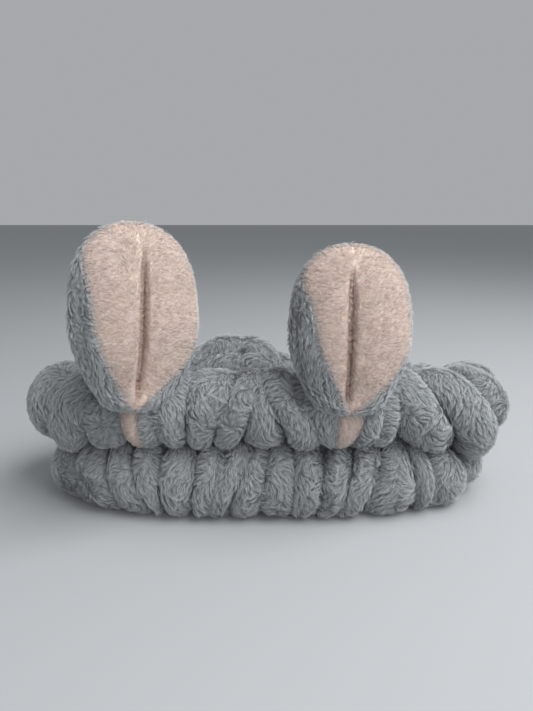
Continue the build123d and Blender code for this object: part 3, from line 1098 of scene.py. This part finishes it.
# --- camera, light and floor
def camera():
    """A phone's main camera, a little above the object."""
    data = bpy.data.cameras.new("camera")
    data.sensor_width = 36
    data.lens = 27
    data.clip_start = 0.01
    cam = bpy.data.objects.new("camera", data)
    cam.location = (0, COVER_LOW[1] - CAMERA_DISTANCE, CAMERA_HEIGHT)
    cam.rotation_euler = (radians(90 - CAMERA_PITCH), 0, 0)
    bpy.context.scene.collection.objects.link(cam)
    bpy.context.scene.camera = cam


def area_light(name, place, aim, size, power):
    """A round soft light at a place, turned to what it lights."""
    data = bpy.data.lights.new(name, "AREA")
    data.shape = "DISK"
    data.size = size
    data.energy = power
    light = bpy.data.objects.new(name, data)
    light.location = place
    light.rotation_euler = (Vector(aim) - Vector(place)).to_track_quat("-Z", "Y").to_euler()
    bpy.context.scene.collection.objects.link(light)


def staging():
    """A plain pale floor under soft light."""
    material, tree, shader = new_material("floor")
    shader.inputs["Base Color"].default_value = FLOOR_COLOUR
    shader.inputs["Roughness"].default_value = 0.9
    signs = np.array([[-1, -1, 0], [1, -1, 0], [1, 1, 0], [-1, 1, 0]], float)
    new_piece("floor", FLOOR_SIZE * signs, np.array([[0, 1, 2, 3]]), material)
    for name, light in LIGHTS.items():
        area_light(name, **light)
    world = bpy.data.worlds.new("room")
    world.use_nodes = True
    background = world.node_tree.nodes["Background"]
    background.inputs["Color"].default_value = ROOM_COLOUR
    background.inputs["Strength"].default_value = ROOM_STRENGTH
    bpy.context.scene.world = world
    bpy.context.scene.view_settings.view_transform = "Standard"


# --- baking each piece's place, and hiding the CAD nodes that it stands for
def across_ring(piece):
    """A piece of the whole ring, its place baked into its mesh."""
    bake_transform(piece)


def across_ear_base(piece):
    """An ear's piece, its place baked into its mesh."""
    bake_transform(piece)


def stands_for(nodes):
    """Hides the CAD nodes that a piece replaces."""
    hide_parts(*nodes)


def build_band(made):
    """The cover with its pile, the elastic inside, and their seams."""
    thread = made["thread"]
    cover = band_cover(made["grey"])
    across_ring(cover)
    stands_for(("band_cover_front", "band_cover_back"))
    pile(cover, made["grey_strand"], "band")
    for piece, slot, node in (
        (elastic_loop(made["tape"]), "elastic", "elastic_loop"),
        (midline_seam(False, thread), "thread", "midline_stitches_front"),
        (midline_seam(True, thread), "thread", "midline_stitches_back"),
        (join_seam(thread), "thread", "back_join_stitches"),
        (lap_seam(made["white_thread"]), "thread", "elastic_lap_stitches"),
    ):
        across_ring(piece)
        stands_for((node,))


def build_ear(side, made):
    """An ear: a pink and a grey panel with their pile, the filling, and the seam round its edge."""
    for colour, place, node in (("pink", "inner", "front"), ("grey", "outer", "back")):
        front = node == "front"
        panel = ear_panel(side, front, made[colour], f"{side}_ear_{place}_panel")
        lay_ear(panel, side, front)
        across_ear_base(panel)
        stands_for((f"{side}_ear_{node}",))
        pile(panel, made[f"{colour}_strand"], f"ear_{place}")

    filling = ear_filling(side, made["stuffing"])
    across_ear_base(filling)
    stands_for((f"{side}_ear_filling",))

    edge = ear_edge_seam(side, made["thread"])
    across_ear_base(edge)
    stands_for((f"{side}_ear_edge_seam",))


def build_tail(side, made):
    """The tail of an ear: its stitches, and its puffs and stripe with their pile."""
    sewn = tail_seam(side, made["thread"])
    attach(sewn, "front_band")
    stands_for((f"{side}_tail_stitches",))
    for shape, colour, kind, node in (
        (tail_puffs, "grey", "puffs", "ear_tail"),
        (tail_stripe, "pink", "stripe", "tail_stripe"),
    ):
        piece = shape(side, made[colour])
        store_vector(piece, "lay", lay_of_pile(coordinates(piece), normals(piece), 55))
        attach(piece, "front_band")
        stands_for((f"{side}_{node}",))
        pile(piece, made[f"{colour}_strand"], kind)


def main():
    camera()
    staging()
    made = materials()
    build_band(made)
    for side in EARS:
        build_ear(side, made)
        build_tail(side, made)


main()
